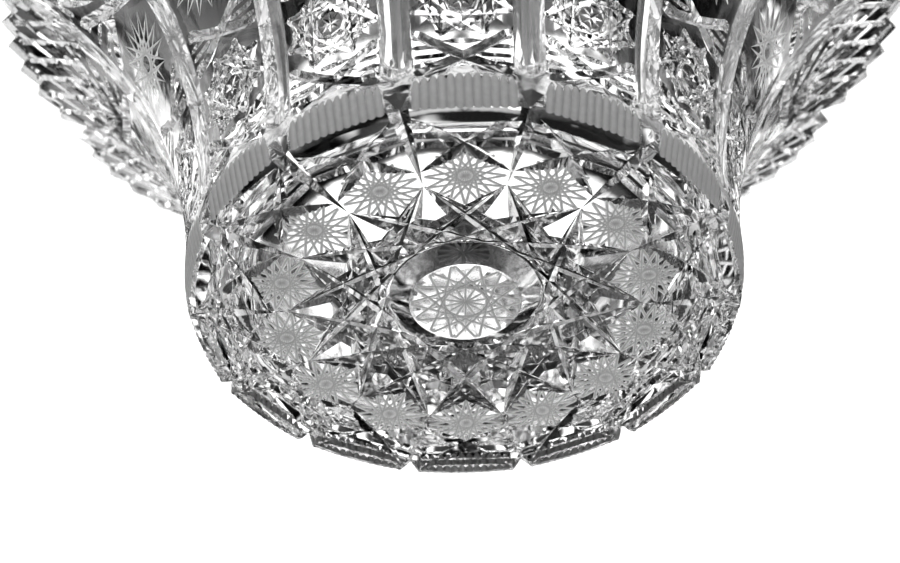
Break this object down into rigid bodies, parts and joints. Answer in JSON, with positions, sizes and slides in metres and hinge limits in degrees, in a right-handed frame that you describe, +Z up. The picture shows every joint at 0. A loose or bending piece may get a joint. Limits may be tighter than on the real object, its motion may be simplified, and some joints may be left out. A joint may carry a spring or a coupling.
{
  "type": "cut crystal vase",
  "caption": "Wide flared cut-crystal vase with a star-cut foot, ribbed heel windows, fluted panels and a toothed scalloped lip, for holding flowers or fruit.",
  "frame": {"origin": "on the vase's axis, at the height of the flat it stands on", "axes": "+Z up along the axis towards the lip; -Y through the middle of one cut panel"},
  "size_m": [0.2666, 0.2694, 0.1357],
  "materials": {
    "crystal": "polished"
  },
  "bodies": {
    "root": {"base": "crystal", "wall": "crystal", "rim": "crystal"}
  },
  "joints": []
}
